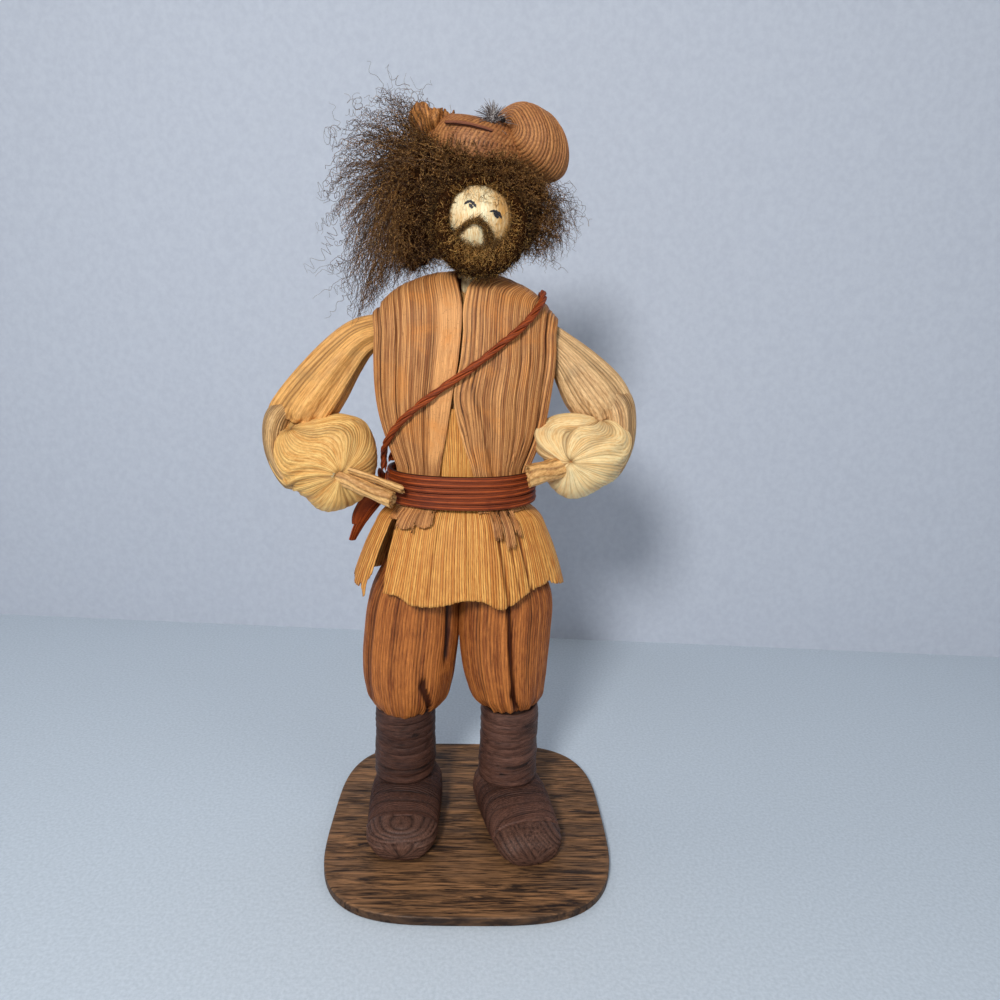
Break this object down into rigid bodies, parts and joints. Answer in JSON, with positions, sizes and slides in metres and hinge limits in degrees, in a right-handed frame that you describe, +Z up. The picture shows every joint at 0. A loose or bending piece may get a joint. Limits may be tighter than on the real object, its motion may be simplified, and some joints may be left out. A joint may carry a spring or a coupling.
{
  "type": "corn husk doll",
  "caption": "Corn husk doll of a bearded man in vest, sash and floppy hat, on a wooden base, with wired arms and a head that turns.",
  "frame": {"origin": "centre of the wooden base's underside", "axes": "+Z up, -Y the way the doll faces, +X towards the doll's left hand"},
  "size_m": [0.1164, 0.0958, 0.2397],
  "materials": {
    "stained_wood": "walnut-stained, satin, worn edges",
    "iron_wire": "plain iron wire",
    "waxed_thread": "waxed thread",
    "dark_husk": "dark dyed corn husk",
    "toe_husk": "dark dyed corn husk, lighter",
    "rust_husk": "rust dyed ribbed corn husk",
    "golden_husk": "golden ribbed corn husk",
    "tan_husk": "tan ribbed corn husk",
    "red_brown_husk": "red-brown dyed corn husk",
    "straw_husk": "undyed ribbed corn husk",
    "pale_husk": "pale undyed corn husk",
    "cream_husk": "smooth cream corn husk with painted eyes",
    "brown_hair": "kinky brown crepe hair",
    "hat_husk": "light orange ribbed corn husk",
    "grey_feather": "grey feather barbs"
  },
  "bodies": {
    "torso": {"base_plate": "stained_wood", "right_leg_wire": "iron_wire", "left_leg_wire": "iron_wire", "right_boot_core": "dark_husk", "left_boot_core": "dark_husk", "right_boot_shaft_wrap": "dark_husk", "left_boot_shaft_wrap": "dark_husk", "right_boot_foot": "dark_husk", "left_boot_foot": "dark_husk", "right_toe_cap": "toe_husk", "left_toe_cap": "toe_husk", "right_knee_tie": "waxed_thread", "left_knee_tie": "waxed_thread", "right_trouser_leg": "rust_husk", "left_trouser_leg": "rust_husk", "torso_core": "straw_husk", "shoulder_wire": "iron_wire", "neck_wire": "iron_wire", "waist_tie": "waxed_thread", "tunic_front": "golden_husk", "tunic_back": "golden_husk", "right_vest_panel": "tan_husk", "left_vest_panel": "tan_husk", "sash": "red_brown_husk", "sash_knot": "red_brown_husk", "sash_tail_long": "red_brown_husk", "sash_tail_short": "red_brown_husk", "shoulder_strap": "red_brown_husk"},
    "head": {"head_core": "straw_husk", "head_husk": "cream_husk", "neck_tie": "waxed_thread", "beard_ring": "brown_hair", "moustache": "brown_hair", "hair_cap": "brown_hair", "hair_right": "brown_hair", "hair_left": "brown_hair", "hat_crown": "hat_husk", "hat_puff": "hat_husk", "hat_flap": "hat_husk", "hat_band": "red_brown_husk", "hat_pin": "iron_wire", "feather": "grey_feather"},
    "right_upper_arm": {"right_upper_sleeve": "pale_husk", "right_upper_arm_wire": "iron_wire"},
    "left_upper_arm": {"left_upper_sleeve": "pale_husk", "left_upper_arm_wire": "iron_wire"},
    "right_forearm": {"right_sleeve_puff": "pale_husk", "right_forearm_wire": "iron_wire", "right_hand_roll": "straw_husk", "right_hand_strip": "straw_husk", "right_wrist_tie": "waxed_thread"},
    "left_forearm": {"left_sleeve_puff": "pale_husk", "left_forearm_wire": "iron_wire", "left_hand_roll": "straw_husk", "left_wrist_tie": "waxed_thread"}
  },
  "joints": [
    {"name": "head_turn", "type": "hinge", "parent": "torso", "child": "head", "pos_m": [-0.002, -0.001, 0.1888], "axis": [0, 0, 1], "range_deg": [-15, 15]},
    {"name": "right_shoulder_swing", "type": "hinge", "parent": "torso", "child": "right_upper_arm", "pos_m": [-0.0301, 0.003, 0.172], "axis": [-1, 0, 0], "range_deg": [0, 15]},
    {"name": "left_shoulder_swing", "type": "hinge", "parent": "torso", "child": "left_upper_arm", "pos_m": [0.0205, 0.003, 0.172], "axis": [-1, 0, 0], "range_deg": [0, 15]},
    {"name": "right_elbow_bend", "type": "hinge", "parent": "right_upper_arm", "child": "right_forearm", "pos_m": [-0.0663, 0.003, 0.1445], "axis": [0, 1, 0], "range_deg": [0, 20]},
    {"name": "left_elbow_bend", "type": "hinge", "parent": "left_upper_arm", "child": "left_forearm", "pos_m": [0.0492, 0.003, 0.15], "axis": [0, -1, 0], "range_deg": [0, 20]}
  ]
}
